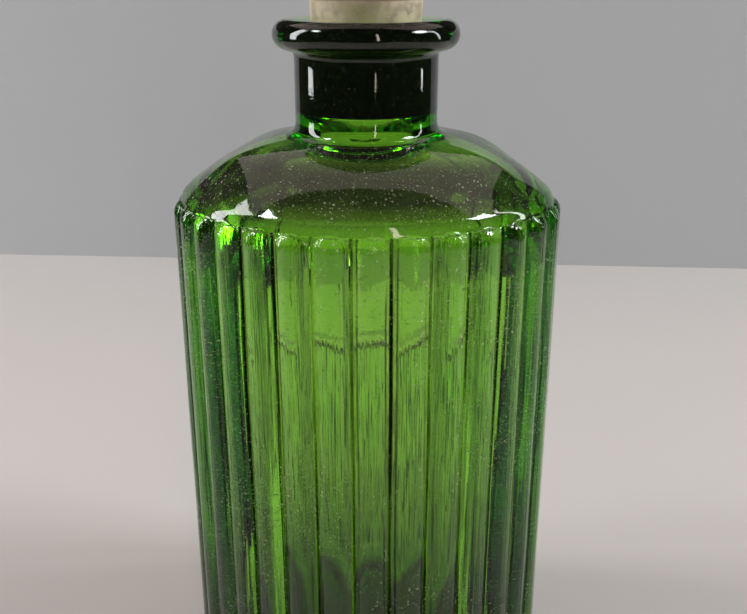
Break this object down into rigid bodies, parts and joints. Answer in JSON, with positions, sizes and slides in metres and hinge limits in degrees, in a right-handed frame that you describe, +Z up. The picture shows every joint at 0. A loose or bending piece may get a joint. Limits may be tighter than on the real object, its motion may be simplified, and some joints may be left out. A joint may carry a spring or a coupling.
{
  "type": "reeded chemist's bottle",
  "caption": "Green reeded oval chemist's bottle with a rounded lip and a ground-in glass stopper that lifts out.",
  "frame": {"origin": "middle of the standing surface, under the neck's axis", "axes": "+Z up along the neck, reeded front towards -Y, plain name panel on the back towards +Y, widest side to side along X"},
  "size_m": [0.089, 0.0746, 0.1857],
  "materials": {
    "green_glass": "clear emerald green pressed glass, fire polished",
    "clear_glass": "clear glass with a frosted ground shank"
  },
  "bodies": {
    "bottle": {"bottle": "green_glass"},
    "stopper": {"stopper": "clear_glass"}
  },
  "joints": [
    {"name": "stopper_lift", "type": "slide", "parent": "bottle", "child": "stopper", "axis": [0, 0, 1], "range_m": [0, 0.04]}
  ]
}
